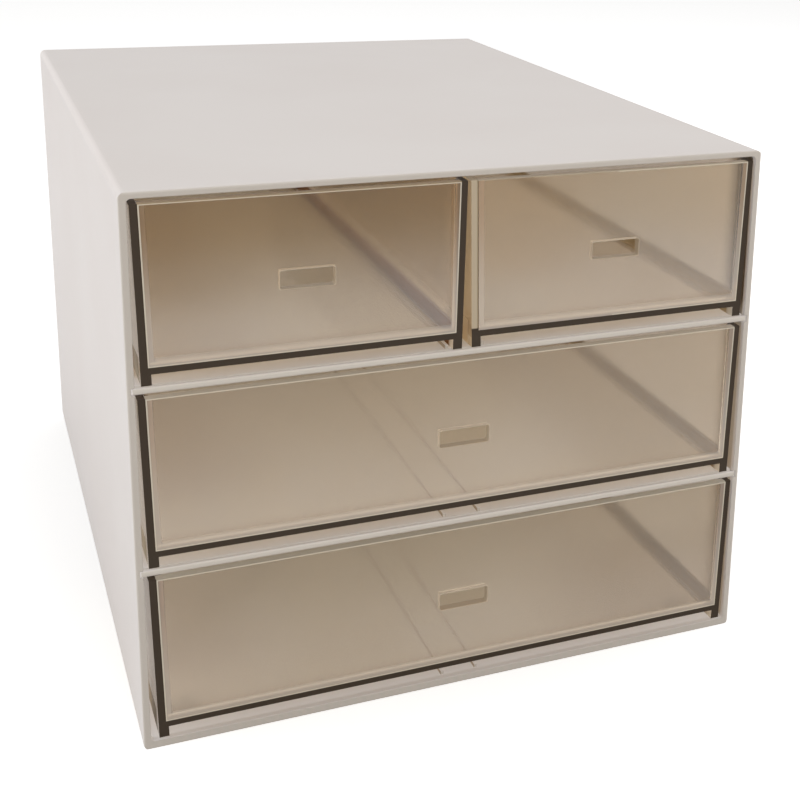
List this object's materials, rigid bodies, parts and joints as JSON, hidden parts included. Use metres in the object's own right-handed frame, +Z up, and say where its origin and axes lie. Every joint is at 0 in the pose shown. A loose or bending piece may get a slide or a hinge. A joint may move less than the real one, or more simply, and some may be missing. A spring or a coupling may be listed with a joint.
{
  "type": "desktop drawer cabinet",
  "caption": "Desktop cabinet with two small see-through drawers side by side above two full-width ones, each pulled out by a finger slot.",
  "frame": {"origin": "middle of the cabinet's footprint, on the surface that its feet stand on", "axes": "+Y from the drawers' fronts to the back, +X to the right as seen by someone facing the drawers, +Z up"},
  "size_m": [0.26, 0.345, 0.2232],
  "materials": {
    "shell_plastic": "warm off-white moulded plastic with a satin surface",
    "smoke_plastic": "clear smoke-brown moulded plastic, polished",
    "foot_pad": "soft matt dark grey pad"
  },
  "bodies": {
    "casing": {"casing": "shell_plastic", "lower_shelf": "shell_plastic", "upper_shelf": "shell_plastic", "back_panel": "shell_plastic", "centre_guide": "shell_plastic", "foot_front_left": "foot_pad", "foot_front_right": "foot_pad", "foot_rear_left": "foot_pad", "foot_rear_right": "foot_pad"},
    "upper_left_drawer": {"upper_left_drawer": "smoke_plastic"},
    "upper_right_drawer": {"upper_right_drawer": "smoke_plastic"},
    "middle_drawer": {"middle_drawer": "smoke_plastic"},
    "lower_drawer": {"lower_drawer": "smoke_plastic"}
  },
  "joints": [
    {"name": "upper_left_slide", "type": "slide", "parent": "casing", "child": "upper_left_drawer", "axis": [0, -1, 0], "range_m": [0, 0.26]},
    {"name": "upper_right_slide", "type": "slide", "parent": "casing", "child": "upper_right_drawer", "axis": [0, -1, 0], "range_m": [0, 0.26]},
    {"name": "middle_slide", "type": "slide", "parent": "casing", "child": "middle_drawer", "axis": [0, -1, 0], "range_m": [0, 0.26]},
    {"name": "lower_slide", "type": "slide", "parent": "casing", "child": "lower_drawer", "axis": [0, -1, 0], "range_m": [0, 0.26]}
  ]
}
